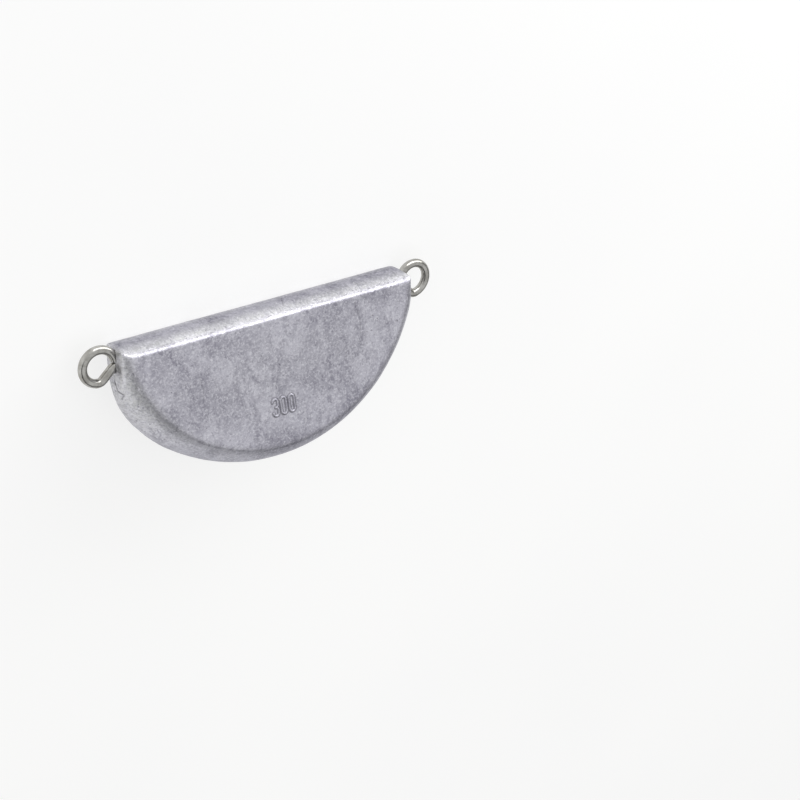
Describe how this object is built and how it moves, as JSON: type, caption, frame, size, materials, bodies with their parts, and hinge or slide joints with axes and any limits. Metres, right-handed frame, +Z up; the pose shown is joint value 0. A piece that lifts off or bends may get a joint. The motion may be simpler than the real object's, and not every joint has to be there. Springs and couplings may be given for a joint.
{
  "type": "fishing sinker",
  "caption": "Half-moon lead fishing sinker, thicker towards its rounded belly, cast round a stainless wire that ends in a line eye at each end.",
  "frame": {"origin": "centre of the bounding box in plan, on the lower broad face that the sinker lies on", "axes": "+X along the straight edge, from one eye to the other; +Y from the belly towards the straight edge; +Z up"},
  "size_m": [0.0878, 0.0352, 0.02],
  "materials": {
    "cast_lead": "satin, as cast",
    "stainless_wire": "polished"
  },
  "bodies": {
    "root": {"lead_body": "cast_lead", "through_wire": "stainless_wire"}
  },
  "joints": []
}
